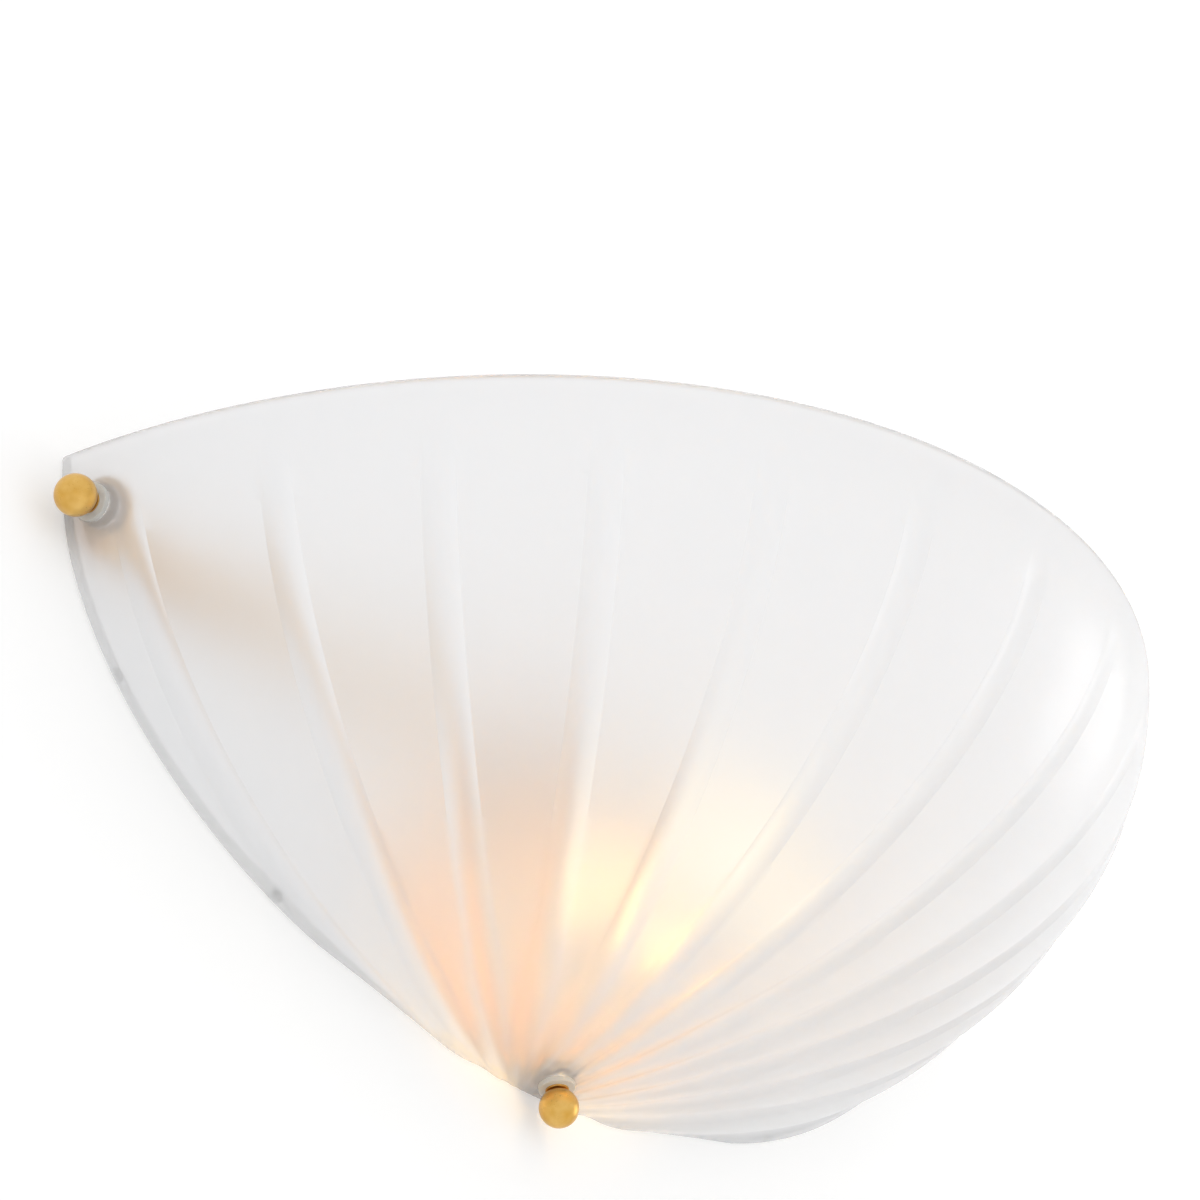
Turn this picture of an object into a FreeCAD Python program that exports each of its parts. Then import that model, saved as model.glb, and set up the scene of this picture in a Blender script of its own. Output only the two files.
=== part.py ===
"""Shell wall sconce: a fluted glass bowl held on a brass wall frame by three ball-headed screws.

The wall is the plane y = 0 and the lamp stands out from it towards -Y. Z is up and X runs along the
wall. The origin is the middle of the back plate's wall face. All sizes are millimetres.
"""
import FreeCAD, Part
import os
from math import cos, hypot, pi, radians, sin, sqrt, tan

V = FreeCAD.Vector
UP = V(0, 0, 1)
FRONT = V(0, -1, 0)

# Glass bowl: half of a deep oval bowl, cut off by the wall, with its rim level and open at the top
RIM_HEIGHT = 56.0            # rim plane above the origin
BOWL_HALF_WIDTH = 177.5      # semi-axis along the wall
BOWL_FRONT = 203.8           # semi-axis out from the wall
BOWL_DROP = 113.8            # rim to the lowest point
BOWL_AXIS_BEHIND = 33.8      # the bowl's upright axis lies this far behind the wall
PLAN_POWER = 1.92            # powers of the bowl's side profile; 2 and 2 would make it an ellipse
DROP_POWER = 1.98
GLASS = 5.0                  # wall thickness
RIM_ROUND = 2.4              # height of the rounded rim
WALL_GAP = 1.0               # the bowl's ground edge stands this far off the wall
BOWL_END_TURN = radians(88.8)  # the surfaces end here, just past the bottom and behind the wall
ROW_SPANS = 32               # smooth spans of a surface from the rim to the bottom
SECTOR_SPANS = 6             # and across one flute, or the panel between two

# Flutes: shallow grooves that fan out over the outside from above the bottom screw
FLUTE_COUNT = 13
FLUTE_PITCH = radians(13.54)
FLUTE_AXIS_BEHIND = 7.2      # the flutes meet on an upright line this far behind the wall
FLUTE_HALF_WIDTH = 4.2
FLUTE_DEPTH = 1.5
FLUTE_SHARE = 0.30           # widest half flute near the bottom, as a share of the pitch
FLUTE_START = 12.0           # below the rim, where the flutes begin to show
FLUTE_FULL = 32.0            # below the rim, where they reach full depth
FLUTE_FADE = 2.5             # how late the flutes fade out at the bottom
PANEL_CROWN = 0.7            # the glass between two flutes swells by this much

# Ball-headed screws, their sleeves and seats
BALL = 10.5                  # ball diameter
BALL_FLAT = 4.7              # ball centre to its flat seat
SCREW = 4.0                  # thread diameter
SCREW_IN_BALL = 3.0          # how far the stud reaches into the ball
THREAD_PITCH = 0.7
THREAD_TURNS = 8
THREAD_LEFT = 0.4            # thread still engaged when the screw is fully backed off
WASHER = 6.2
WASHER_THICK = 0.5
SLEEVE = 9.6                 # clear sleeve under the ball
SLEEVE_NECK = 7.6            # the part of it that passes through the glass
HOLE_PLAY = 0.25             # glass hole to sleeve neck, all round
SEAT_DEPTH = 0.4             # flat spots ground round each hole, outside and inside
SEAT_PLAY = 0.4              # seat to sleeve or gasket, all round
GASKET = 11.0
GASKET_THICK = 2.2
THREAD_PLAY = 0.06           # radial clearance of the stud in its boss
BORE_PLAY = 0.20             # radial clearance of the stud elsewhere
FACE_PLAY = 0.10             # gap between flat faces of pieces that move apart
STANDOFF = 6.4               # ball centre off the glass
SIDE_SCREW_OUT = 9.4         # side screws: distance from the wall
SIDE_SCREW_BELOW = 16.5      # side screws: distance below the rim
LOW_SCREW_OUT = 8.4          # bottom screw: distance from the wall

# Brass wall frame
PLATE = 96.0
PLATE_THICK = 2.0
STRIP_THICK = 2.0            # bar and arm
BAR_HEIGHT = 14.0
ARM_WIDTH = 26.0
ARM_PLAY = 4.0               # gap between the lamp holder's flange and the arm below it
TAB_WIDTH = 15.0
TAB_THICK = 2.5
BOSS = 6.6
BOSS_LENGTH = THREAD_TURNS * THREAD_PITCH + THREAD_LEFT
FIX_SCREW = 4.0              # screws that hold the bar and the arm on the plate
FIX_HEAD = 7.0
FIX_HEAD_THICK = 2.2
SLOT = 0.8                   # width of the slots in all screw heads
BAR_FIX_X = 20.0
ARM_FIX_X = 8.5
ARM_FIX_BELOW = 8.0          # arm's screws: distance below its top
WALL_HOLE = 5.0
WALL_HOLE_SPACING = 72.0
WALL_HOLE_Z = -6.0
PADS_BELOW_RIM = (9.0, 52.0, 90.0)
PAD = 3.6                    # clear pads on the bowl's ground edge

# Lamp holder and lamp
LAMP_Z = -4.0                # lamp axis above the origin
FLANGE = 42.0
FLANGE_THICK = 5.0
HOLDER = 27.0
HOLDER_LENGTH = 31.0
HOLDER_FIX_X = 16.5
HOLDER_SCREW = 3.0
HOLDER_HEAD = 5.6
HOLDER_HEAD_THICK = 1.8
ENTRY_X = 5.0                # the leads enter the top of the holder this far from its middle
ENTRY_OUT = 11.0             # and this far from the wall
SHELL_THICK = 0.5
SHELL_LENGTH = 21.0
CONTACT_WIDTH = 5.0
CONTACT_THICK = 0.6
CONTACT_RISE = 3.4
CAP = 13.7                   # lamp cap over its thread
CAP_PLAY = 0.08              # radial clearance of the cap in the holder's shell
CAP_LENGTH = 19.0
CAP_PITCH = 2.8
CAP_GROOVE = 0.55
CAP_THICK = 0.5
TIP = 5.0
TIP_HEIGHT = 2.0
INSULATOR_HEIGHT = 3.0
INSULATOR_STEP = 1.0         # the insulator is this much wider than the tip, all round
BULB = 45.0
BULB_NECK = 22.0
NECK_STEP = 3.0              # the neck narrows by this much, all round
NECK_TAPER = 4.0             # over this length, down to the cap
BULB_GLASS = 1.0
LAMP_LENGTH = 78.0

# Wiring
BLOCK_LENGTH = 24.0          # terminal block
BLOCK_DEPTH = 12.0
BLOCK_HEIGHT = 13.0
BLOCK_X = -4.0
BLOCK_WAYS = 3
BLOCK_BORE = 3.4
BLOCK_SCREW = 3.6
BLOCK_SCREW_LENGTH = 3.9
LEAD = 1.8
LEAD_DEPTH = 3.0             # how far a lead's end reaches into its terminal
CORNER_SHARE = 0.45          # share of the shorter run that a lead's bend takes up
INLET_X = 24.0
INLET_PLAY = 3.0             # gap between the bar and the grommet below it
INLET_HOLE = 12.0
INLET_BORE = 8.0
GROMMET_LIP = 15.0
GROMMET_LIP_THICK = 1.6
EARTH_X = -36.0
EARTH_Z = 8.0
EARTH_SCREW = 4.0
EARTH_HEAD = 7.0
EARTH_HEAD_THICK = 2.4
EARTH_RING = 8.5             # ring terminal on the end of the earth lead
EARTH_RING_THICK = 0.8
EARTH_BARREL = 3.4
EARTH_BARREL_LENGTH = 6.0

# Levels along a screw's axis, from the outside of the glass
TINY = 0.01
BALL_SEAT = STANDOFF - BALL_FLAT
SLEEVE_TOP = BALL_SEAT - WASHER_THICK - 2 * FACE_PLAY
GASKET_TOP = SEAT_DEPTH - GLASS
TAB_TOP = GASKET_TOP - GASKET_THICK
BOSS_TOP = TAB_TOP - TAB_THICK
STUD_END = BOSS_TOP - BOSS_LENGTH

# Levels that follow from the sizes above, as distances from the wall unless they end in _Z
BAR_Z = RIM_HEIGHT - SIDE_SCREW_BELOW
INLET_Z = BAR_Z - BAR_HEIGHT / 2 - INLET_PLAY - GROMMET_LIP / 2
ARM_TOP = LAMP_Z - FLANGE / 2 - ARM_PLAY
ARM_FIX_Z = ARM_TOP - ARM_FIX_BELOW
FRAME_FACE = PLATE_THICK + STRIP_THICK
HOLDER_FLOOR = PLATE_THICK + FLANGE_THICK
HOLDER_FRONT = PLATE_THICK + HOLDER_LENGTH
SHELL_BORE = CAP + 2 * CAP_PLAY
SHELL = SHELL_BORE + 2 * SHELL_THICK
ENTRY_Z = LAMP_Z + sqrt((HOLDER / 2) ** 2 - ENTRY_X ** 2) - LEAD_DEPTH
CONTACT_TOP = HOLDER_FLOOR + CONTACT_RISE
LAMP_TIP = CONTACT_TOP + FACE_PLAY
CAP_START = LAMP_TIP + TIP_HEIGHT + INSULATOR_HEIGHT
CAP_STOP = CAP_START + CAP_LENGTH
BLOCK_FRONT = FRAME_FACE + BLOCK_DEPTH
BLOCK_MIDDLE = FRAME_FACE + BLOCK_DEPTH / 2
BLOCK_FOOT_Z = BAR_Z - BLOCK_HEIGHT / 2
BLOCK_SCREW_ZS = (BAR_Z - BLOCK_HEIGHT / 4, BAR_Z + BLOCK_HEIGHT / 4)
EARTH_BARREL_OUT = PLATE_THICK + EARTH_BARREL / 2
EARTH_BARREL_Z = EARTH_Z + EARTH_RING / 2 - EARTH_RING_THICK / 2


# ---- small helpers ----
def cylinder(diameter, length, base, axis):
    return Part.makeCylinder(diameter / 2, length, base, axis)


def wall_peg(diameter, x, z, start, stop):
    """Cylinder square to the wall, between two distances from it."""
    return cylinder(diameter, stop - start, V(x, -start, z), FRONT)


def block(x0, x1, y0, y1, z0, z1):
    return Part.makeBox(x1 - x0, y1 - y0, z1 - z0, V(x0, y0, z0))


def save(name, *shapes):
    """Write one node and print what it is made of."""
    solids = [solid for shape in shapes for solid in shape.Solids]
    node = solids[0] if len(solids) == 1 else Part.makeCompound(solids)
    node.exportStep("parts/" + name + ".step")
    valid = all(solid.isValid() for solid in solids)
    print(f"{name}: {len(solids)} solid(s), {node.Volume:.1f} mm3, valid {valid}")


def rounded_path(points):
    """Straight runs joined by tangent arcs, each as large as its two runs allow, and the arcs' radii."""
    edges = []
    radii = []
    start = points[0]
    for before, corner, after in zip(points, points[1:], points[2:]):
        back = (before - corner).normalize()
        ahead = (after - corner).normalize()
        turn = pi - back.getAngle(ahead)
        trim = CORNER_SHARE * min((before - corner).Length, (after - corner).Length)
        radius = trim / tan(turn / 2)
        enter = corner + back * trim
        leave = corner + ahead * trim
        middle = corner + (back + ahead).normalize() * (hypot(radius, trim) - radius)
        edges.append(Part.LineSegment(start, enter).toShape())
        edges.append(Part.Arc(enter, middle, leave).toShape())
        radii.append(radius)
        start = leave
    edges.append(Part.LineSegment(start, points[-1]).toShape())
    return Part.Wire(edges), radii


def tube(points, diameter):
    path, radii = rounded_path(points)
    circle = Part.Wire(Part.makeCircle(diameter / 2, points[0], points[1] - points[0]))
    solid = path.makePipeShell([circle], True, False)
    expected = pi * diameter ** 2 / 4 * path.Length
    bends = ", ".join(f"{radius:.2f}" for radius in radii)
    print(f"  bend radii {bends}, volume over section times length {solid.Volume / expected:.4f}")
    return solid


# ---- glass bowl ----
class Bowl:
    """One surface of the bowl: an oval in plan, a squared ellipse from the side."""

    def __init__(self, inset):
        self.half_width = BOWL_HALF_WIDTH - inset
        self.front = BOWL_FRONT - inset
        self.drop = BOWL_DROP - inset
        self.top_spread = (1 - (RIM_ROUND / self.drop) ** DROP_POWER) ** (1 / PLAN_POWER)

    def spread(self, x, y):
        """0 on the bowl's upright axis, 1 at the rim."""
        return hypot(x / self.half_width, (BOWL_AXIS_BEHIND - y) / self.front)

    def height(self, x, y):
        inside = max(0.0, 1 - self.spread(x, y) ** PLAN_POWER)
        return RIM_HEIGHT - self.drop * inside ** (1 / DROP_POWER)

    def reach(self, angle):
        """Level distance from the flutes' axis to just under the rim, at an angle from +X to the front."""
        across = cos(angle) / self.half_width
        out = sin(angle) / self.front
        offset = (BOWL_AXIS_BEHIND - FLUTE_AXIS_BEHIND) / self.front
        a = across ** 2 + out ** 2
        b = offset * out
        c = offset ** 2 - self.top_spread ** 2
        return (-b + sqrt(b * b - a * c)) / a

    def normal(self, point):
        """Outward unit normal at a point of the surface."""
        spread = max(self.spread(point.x, point.y), TINY)
        pull = PLAN_POWER * spread ** (PLAN_POWER - 2)
        level_x = pull * point.x / self.half_width ** 2
        level_y = -pull * (BOWL_AXIS_BEHIND - point.y) / self.front ** 2
        below = max(RIM_HEIGHT - point.z, TINY) / self.drop
        down = -DROP_POWER * below ** (DROP_POWER - 1) / self.drop
        return V(level_x, level_y, down).normalize()

    def at(self, angle, turn):
        """Point seen along an angle; turn runs from 0 under the rim to a quarter turn at the bottom."""
        away = self.reach(angle) * cos(turn)
        x = away * cos(angle)
        y = FLUTE_AXIS_BEHIND - away * sin(angle)
        return V(x, y, self.height(x, y))

    def width_at(self, y, z):
        """Half width of the surface at a distance from the wall and a height."""
        spread = (1 - ((RIM_HEIGHT - z) / self.drop) ** DROP_POWER) ** (1 / PLAN_POWER)
        return self.half_width * sqrt(spread ** 2 - ((BOWL_AXIS_BEHIND - y) / self.front) ** 2)


OUTSIDE = Bowl(0.0)
INSIDE = Bowl(GLASS)
SECTORS = 2 * FLUTE_COUNT + 1
DEGREE = 3                   # the bowl's surfaces are cubic
ARCH_RISE = 0.75             # a cubic arch rises to this share of its inner points' height


def smooth(value):
    value = min(1.0, max(0.0, value))
    return value * value * (3 - 2 * value)


def net_places(spans):
    """Shares from 0 to 1 that spread the points of a cubic net evenly over its spans."""
    places = [0, 1 / DEGREE] + list(range(1, spans)) + [spans - 1 / DEGREE, spans]
    return [place / spans for place in places]


def net_surface(rows, row_spans):
    """Smooth surface drawn by a net of points, which ends on the net's borders."""
    knots = []
    for spans in (row_spans, SECTOR_SPANS):
        knots.append([DEGREE + 1] + [1] * (spans - 1) + [DEGREE + 1])
    places = [list(range(len(counts))) for counts in knots]
    surface = Part.BSplineSurface()
    surface.buildFromPolesMultsKnots(rows, *knots, *places, False, False, DEGREE, DEGREE)
    return surface


def flute_half_angle(centre, turn):
    away = OUTSIDE.reach(centre) * cos(turn)
    return min(FLUTE_HALF_WIDTH / away, FLUTE_SHARE * FLUTE_PITCH)


def sector_angles(index, turn):
    """Start and end of a sector, counted from +X: even sectors are panels, odd ones flutes."""
    centre = pi / 2 + (index // 2 - (FLUTE_COUNT - 1) / 2) * FLUTE_PITCH
    before = centre - FLUTE_PITCH
    half = flute_half_angle(centre, turn)
    if index % 2:
        return centre - half, centre + half
    start = before + flute_half_angle(before, turn) if index > 0 else 0.0
    stop = centre - half if index < SECTORS - 1 else pi
    return start, stop


def relief(index, share, turn):
    """Height of a flute or panel over the plain bowl; it fades towards the rim and the bottom."""
    below = BOWL_DROP * sin(turn)
    shown = smooth((below - FLUTE_START) / (FLUTE_FULL - FLUTE_START)) * smooth(FLUTE_FADE * cos(turn))
    arch = 4 * share * (1 - share)
    return (-FLUTE_DEPTH if index % 2 else PANEL_CROWN) * arch * shown


def sector_net(bowl, index):
    rows = []
    for turn in [BOWL_END_TURN * place for place in net_places(ROW_SPANS)]:
        start, stop = sector_angles(index, turn)
        row = []
        for share in net_places(SECTOR_SPANS):
            point = bowl.at(start + (stop - start) * share, turn)
            if bowl is OUTSIDE:
                point += bowl.normal(point) * relief(index, share, turn)
            row.append(point)
        rows.append(row)
    return rows


def ruled(one, other):
    return Part.makeRuledSurface(one.toShape(), other.toShape())


def side_faces(outer, inner, rim, end):
    """Faces that close the glass and its rim at one end of the bowl."""
    arch = rim.vIso(end)
    lid = Part.Wire([arch.toShape(), Part.LineSegment(arch.EndPoint, arch.StartPoint).toShape()])
    return [ruled(outer.vIso(end), inner.vIso(end)), Part.Face(lid)]


def sector_faces(index):
    outer_net = sector_net(OUTSIDE, index)
    inner_net = sector_net(INSIDE, index)
    rise = UP * (RIM_ROUND / ARCH_RISE)
    rim_net = [outer_net[0], [point + rise for point in outer_net[0]],
               [point + rise for point in inner_net[0]], inner_net[0]]
    outer = net_surface(outer_net, ROW_SPANS)
    inner = net_surface(inner_net, ROW_SPANS)
    rim = net_surface(rim_net, 1)
    faces = [surface.toShape() for surface in (outer, inner, rim)]
    faces.append(ruled(outer.uIso(ROW_SPANS), inner.uIso(ROW_SPANS)))
    if index == 0:
        faces += side_faces(outer, inner, rim, 0)
    if index == SECTORS - 1:
        faces += side_faces(outer, inner, rim, SECTOR_SPANS)
    return faces


def whole_bowl():
    """The fluted bowl before it is cut along the wall and drilled."""
    shell = Part.makeShell([face for index in range(SECTORS) for face in sector_faces(index)])
    shell.sewShape()
    solid = Part.makeSolid(shell)
    if solid.Volume < 0:
        solid.reverse()
    return solid


# ---- screw stations ----
class Station:
    """A screw through the glass: its place on the bowl and its outward axis."""

    def __init__(self, x, y):
        self.foot = V(x, y, OUTSIDE.height(x, y))
        self.axis = OUTSIDE.normal(self.foot)

    def out(self, distance):
        """Point on the axis, positive outside the glass."""
        return self.foot + self.axis * distance

    def disc(self, diameter, low, high):
        return cylinder(diameter, high - low, self.out(low), self.axis)

    def hoop(self, outer, inner, low, high):
        return self.disc(outer, low, high).cut(self.disc(inner, low, high))


SIDE_X = OUTSIDE.width_at(-SIDE_SCREW_OUT, BAR_Z)
STATIONS = {
    "left": Station(-SIDE_X, -SIDE_SCREW_OUT),
    "right": Station(SIDE_X, -SIDE_SCREW_OUT),
    "bottom": Station(0, -LOW_SCREW_OUT),
}


def glass_bowl():
    reach = 2 * BOWL_FRONT
    solid = whole_bowl().cut(block(-reach, reach, -WALL_GAP, reach, -reach, reach))
    hole = SLEEVE_NECK + 2 * HOLE_PLAY
    for station in STATIONS.values():
        solid = solid.cut(station.disc(hole, -2 * GLASS, GLASS))
        solid = solid.cut(station.disc(SLEEVE + 2 * SEAT_PLAY, -SEAT_DEPTH, GLASS))
        solid = solid.cut(station.disc(GASKET + 2 * SEAT_PLAY, GASKET_TOP - GLASS, GASKET_TOP))
    return solid


def wall_pads():
    """Clear pads along the bowl's ground edge, in the middle of the glass."""
    pads = []
    for below in PADS_BELOW_RIM:
        z = RIM_HEIGHT - below
        middle = (OUTSIDE.width_at(-WALL_GAP, z) + INSIDE.width_at(-WALL_GAP, z)) / 2
        for side in (-1, 1):
            pads.append(wall_peg(PAD, side * middle, z, 0, WALL_GAP))
    return Part.makeCompound(pads)


def ball_head(station):
    ball = Part.makeSphere(BALL / 2, station.out(STANDOFF))
    ball = ball.cut(station.disc(2 * BALL, BALL_SEAT - BALL, BALL_SEAT))
    return ball.cut(station.disc(SCREW, BALL_SEAT, BALL_SEAT + SCREW_IN_BALL))


def stud(station):
    return station.disc(SCREW, STUD_END, BALL_SEAT + SCREW_IN_BALL)


def screw_washer(station):
    low = SLEEVE_TOP + FACE_PLAY
    return station.hoop(WASHER, SCREW + 2 * BORE_PLAY, low, low + WASHER_THICK)


def clear_sleeve(station):
    """Clear sleeve: a collar on the ground seat and a neck that keeps the stud off the glass."""
    collar = station.disc(SLEEVE, -SEAT_DEPTH, SLEEVE_TOP)
    neck = station.disc(SLEEVE_NECK, GASKET_TOP, -SEAT_DEPTH)
    bore = station.disc(SCREW + 2 * BORE_PLAY, GASKET_TOP, SLEEVE_TOP)
    return collar.fuse(neck).cut(bore)


def gasket(station):
    return station.hoop(GASKET, SCREW + 2 * BORE_PLAY, TAB_TOP, GASKET_TOP)


def boss(station):
    return station.hoop(BOSS, SCREW + 2 * THREAD_PLAY, STUD_END, BOSS_TOP)


# ---- wall frame ----
def mirrored(x, z, diameter):
    return [(-x, z, diameter), (x, z, diameter)]


def back_plate():
    plate = wall_peg(PLATE, 0, 0, 0, PLATE_THICK)
    holes = mirrored(WALL_HOLE_SPACING / 2, WALL_HOLE_Z, WALL_HOLE)
    holes += mirrored(BAR_FIX_X, BAR_Z, FIX_SCREW)
    holes += mirrored(ARM_FIX_X, ARM_FIX_Z, FIX_SCREW)
    holes += mirrored(HOLDER_FIX_X, LAMP_Z, HOLDER_SCREW)
    holes += [(INLET_X, INLET_Z, INLET_HOLE), (EARTH_X, EARTH_Z, EARTH_SCREW)]
    for x, z, diameter in holes:
        plate = plate.cut(wall_peg(diameter, x, z, 0, PLATE_THICK))
    return plate


def tab_along(station):
    """Direction in the plane of a tab, from its free end back to the wall."""
    inward = FRONT * -1
    return (inward - station.axis * inward.dot(station.axis)).normalize()


def tab_across(station):
    """Direction in the plane of a tab, square to the one above and parallel to the wall."""
    return station.axis.cross(FRONT).normalize()


def tab(station):
    """Bent end of a strip, square to its screw and round at its free end."""
    middle = station.out(BOSS_TOP)
    half = tab_across(station) * (TAB_WIDTH / 2)
    along = tab_along(station)
    reach = along * ((-middle.y - PLATE_THICK) / along.y)
    points = [middle - half, middle + half, middle + half + reach, middle - half + reach, middle - half]
    straight = Part.Face(Part.makePolygon(points)).extrude(station.axis * TAB_THICK)
    return straight.fuse(station.disc(TAB_WIDTH, BOSS_TOP, TAB_TOP)).removeSplitter()


def bend_point(station):
    """Where the middle of a tab meets the middle of its strip."""
    along = tab_along(station)
    middle = station.out(BOSS_TOP + TAB_THICK / 2)
    return middle + along * ((-middle.y - PLATE_THICK - STRIP_THICK / 2) / along.y)


def wall_strip(corners, screw_x, screw_z):
    """Flat strip on the back plate with an outline of (x, z) corners and two screw holes."""
    points = [V(x, -PLATE_THICK, z) for x, z in corners + corners[:1]]
    strip = Part.Face(Part.makePolygon(points)).extrude(FRONT * STRIP_THICK)
    for x, z, diameter in mirrored(screw_x, screw_z, FIX_SCREW):
        strip = strip.cut(wall_peg(diameter, x, z, PLATE_THICK, FRAME_FACE))
    return strip


def with_tabs(strip, stations):
    reach = 2 * BOWL_FRONT
    back_space = block(-reach, reach, -PLATE_THICK, reach, -reach, reach)
    for station in stations:
        strip = strip.fuse(tab(station).cut(back_space))
    for station in stations:
        strip = strip.cut(station.disc(SCREW + 2 * BORE_PLAY, STUD_END, TAB_TOP))
        strip = strip.cut(station.disc(BOSS + 2 * BORE_PLAY, STUD_END, BOSS_TOP))
    return strip.removeSplitter()


def cross_bar():
    ends = (STATIONS["left"], STATIONS["right"])
    low = BAR_Z - BAR_HEIGHT / 2
    high = BAR_Z + BAR_HEIGHT / 2
    corners = []
    for station, heights in zip(ends, ((low, high), (high, low))):
        bend = bend_point(station)
        across = tab_across(station)
        corners += [(bend.x + (z - bend.z) * across.x / across.z, z) for z in heights]
    return with_tabs(wall_strip(corners, BAR_FIX_X, BAR_Z), ends)


def lower_arm():
    station = STATIONS["bottom"]
    half = ARM_WIDTH / 2
    foot = bend_point(station).z
    corners = [(-half, foot), (half, foot), (half, ARM_TOP), (-half, ARM_TOP)]
    return with_tabs(wall_strip(corners, ARM_FIX_X, ARM_FIX_Z), (station,))


def pan_screw(x, z, face, diameter, head, head_thick):
    """Slotted screw whose head lies on a face at a distance from the wall."""
    top = face + head_thick
    shank = wall_peg(diameter, x, z, 0, face)
    slot = block(x - head, x + head, -top, -top + head_thick / 2, z - SLOT / 2, z + SLOT / 2)
    return shank.fuse(wall_peg(head, x, z, face, top)).cut(slot)


def frame_screws():
    places = mirrored(BAR_FIX_X, BAR_Z, FIX_SCREW) + mirrored(ARM_FIX_X, ARM_FIX_Z, FIX_SCREW)
    head = (FIX_HEAD, FIX_HEAD_THICK)
    return Part.makeCompound([pan_screw(x, z, FRAME_FACE, diameter, *head) for x, z, diameter in places])


# ---- lamp holder and lamp ----
def lamp_disc(diameter, start, stop):
    return wall_peg(diameter, 0, LAMP_Z, start, stop)


def holder_body():
    """Ceramic holder: a round foot screwed to the plate and a cup for the screw shell."""
    body = lamp_disc(FLANGE, PLATE_THICK, HOLDER_FLOOR).fuse(lamp_disc(HOLDER, PLATE_THICK, HOLDER_FRONT))
    body = body.cut(lamp_disc(SHELL, HOLDER_FLOOR, HOLDER_FRONT))
    for x, z, diameter in mirrored(HOLDER_FIX_X, LAMP_Z, HOLDER_SCREW):
        body = body.cut(wall_peg(diameter, x, z, PLATE_THICK, HOLDER_FLOOR))
    for side in (-1, 1):
        body = body.cut(cylinder(LEAD, 2 * LEAD_DEPTH, V(side * ENTRY_X, -ENTRY_OUT, ENTRY_Z), UP))
    return body


def holder_shell():
    start = HOLDER_FRONT - SHELL_LENGTH
    return lamp_disc(SHELL, start, HOLDER_FRONT).cut(lamp_disc(SHELL_BORE, start, HOLDER_FRONT))


def holder_contact():
    """Bent spring strip that meets the lamp's tip."""
    half = CONTACT_WIDTH / 2
    low = LAMP_Z - half
    high = LAMP_Z + half
    bend = CONTACT_TOP - CONTACT_THICK
    foot = block(-half, half, -HOLDER_FLOOR - CONTACT_THICK, -HOLDER_FLOOR, low, high)
    stem = block(-half, half, -bend, -HOLDER_FLOOR, low, low + CONTACT_THICK)
    top = block(-half, half, -CONTACT_TOP, -bend, low, high)
    return foot.fuse([stem, top]).removeSplitter()


def holder_screws():
    places = mirrored(HOLDER_FIX_X, LAMP_Z, HOLDER_SCREW)
    head = (HOLDER_HEAD, HOLDER_HEAD_THICK)
    return Part.makeCompound([pan_screw(x, z, HOLDER_FLOOR, diameter, *head) for x, z, diameter in places])


def lamp_tip():
    return lamp_disc(TIP, LAMP_TIP, LAMP_TIP + TIP_HEIGHT)


def lamp_insulator():
    base = V(0, -LAMP_TIP - TIP_HEIGHT, LAMP_Z)
    return Part.makeCone(TIP / 2 + INSULATOR_STEP, CAP / 2 - CAP_GROOVE, INSULATOR_HEIGHT, base, FRONT)


def lamp_cap():
    """Screw cap: a thin cup with round grooves between its threads."""
    inside = CAP - 2 * CAP_GROOVE - 2 * CAP_THICK
    cap = lamp_disc(CAP, CAP_START, CAP_STOP).cut(lamp_disc(inside, CAP_START, CAP_STOP))
    for i in range(int(CAP_LENGTH / CAP_PITCH)):
        middle = V(0, -CAP_START - CAP_PITCH * (i + 1 / 2), LAMP_Z)
        cap = cap.cut(Part.makeTorus(CAP / 2, CAP_GROOVE, middle, FRONT))
    return cap


def lamp_globe():
    """Opal globe on a short neck, hollow, standing on the cap."""
    radius = BULB / 2
    neck = BULB_NECK / 2
    centre = LAMP_TIP + LAMP_LENGTH - radius
    end = V(0, -centre - radius, 0)
    shoulder = V(neck, -centre + sqrt(radius ** 2 - neck ** 2), 0)
    outline = [end, V(0, -CAP_STOP, 0), V(neck - NECK_STEP, -CAP_STOP, 0)]
    outline += [V(neck, -CAP_STOP - NECK_TAPER, 0), shoulder]
    edges = [Part.LineSegment(a, b).toShape() for a, b in zip(outline, outline[1:])]
    edges.append(Part.Arc(outline[-1], V(radius, -centre, 0), end).toShape())
    solid = Part.Face(Part.Wire(edges)).revolve(V(0, 0, 0), FRONT, 360)
    solid = solid.cut(Part.makeSphere(radius - BULB_GLASS, V(0, -centre, 0)))
    return solid.translated(V(0, 0, LAMP_Z))


# ---- wiring ----
def block_way(i):
    """X of one way of the terminal block."""
    return BLOCK_X + (i - (BLOCK_WAYS - 1) / 2) * BLOCK_LENGTH / BLOCK_WAYS


def terminal_block():
    left = BLOCK_X - BLOCK_LENGTH / 2
    top = BLOCK_FOOT_Z + BLOCK_HEIGHT
    body = block(left, left + BLOCK_LENGTH, -BLOCK_FRONT, -FRAME_FACE, BLOCK_FOOT_Z, top)
    for i in range(BLOCK_WAYS):
        foot = V(block_way(i), -BLOCK_MIDDLE, BLOCK_FOOT_Z)
        body = body.cut(cylinder(BLOCK_BORE, BLOCK_HEIGHT, foot, UP))
        for z in BLOCK_SCREW_ZS:
            body = body.cut(wall_peg(BLOCK_SCREW, block_way(i), z, BLOCK_MIDDLE, BLOCK_FRONT))
    return body


def terminal_screws():
    start = BLOCK_FRONT - BLOCK_SCREW_LENGTH
    places = [(block_way(i), z) for i in range(BLOCK_WAYS) for z in BLOCK_SCREW_ZS]
    return Part.makeCompound([wall_peg(BLOCK_SCREW, x, z, start, BLOCK_FRONT) for x, z in places])


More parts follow.
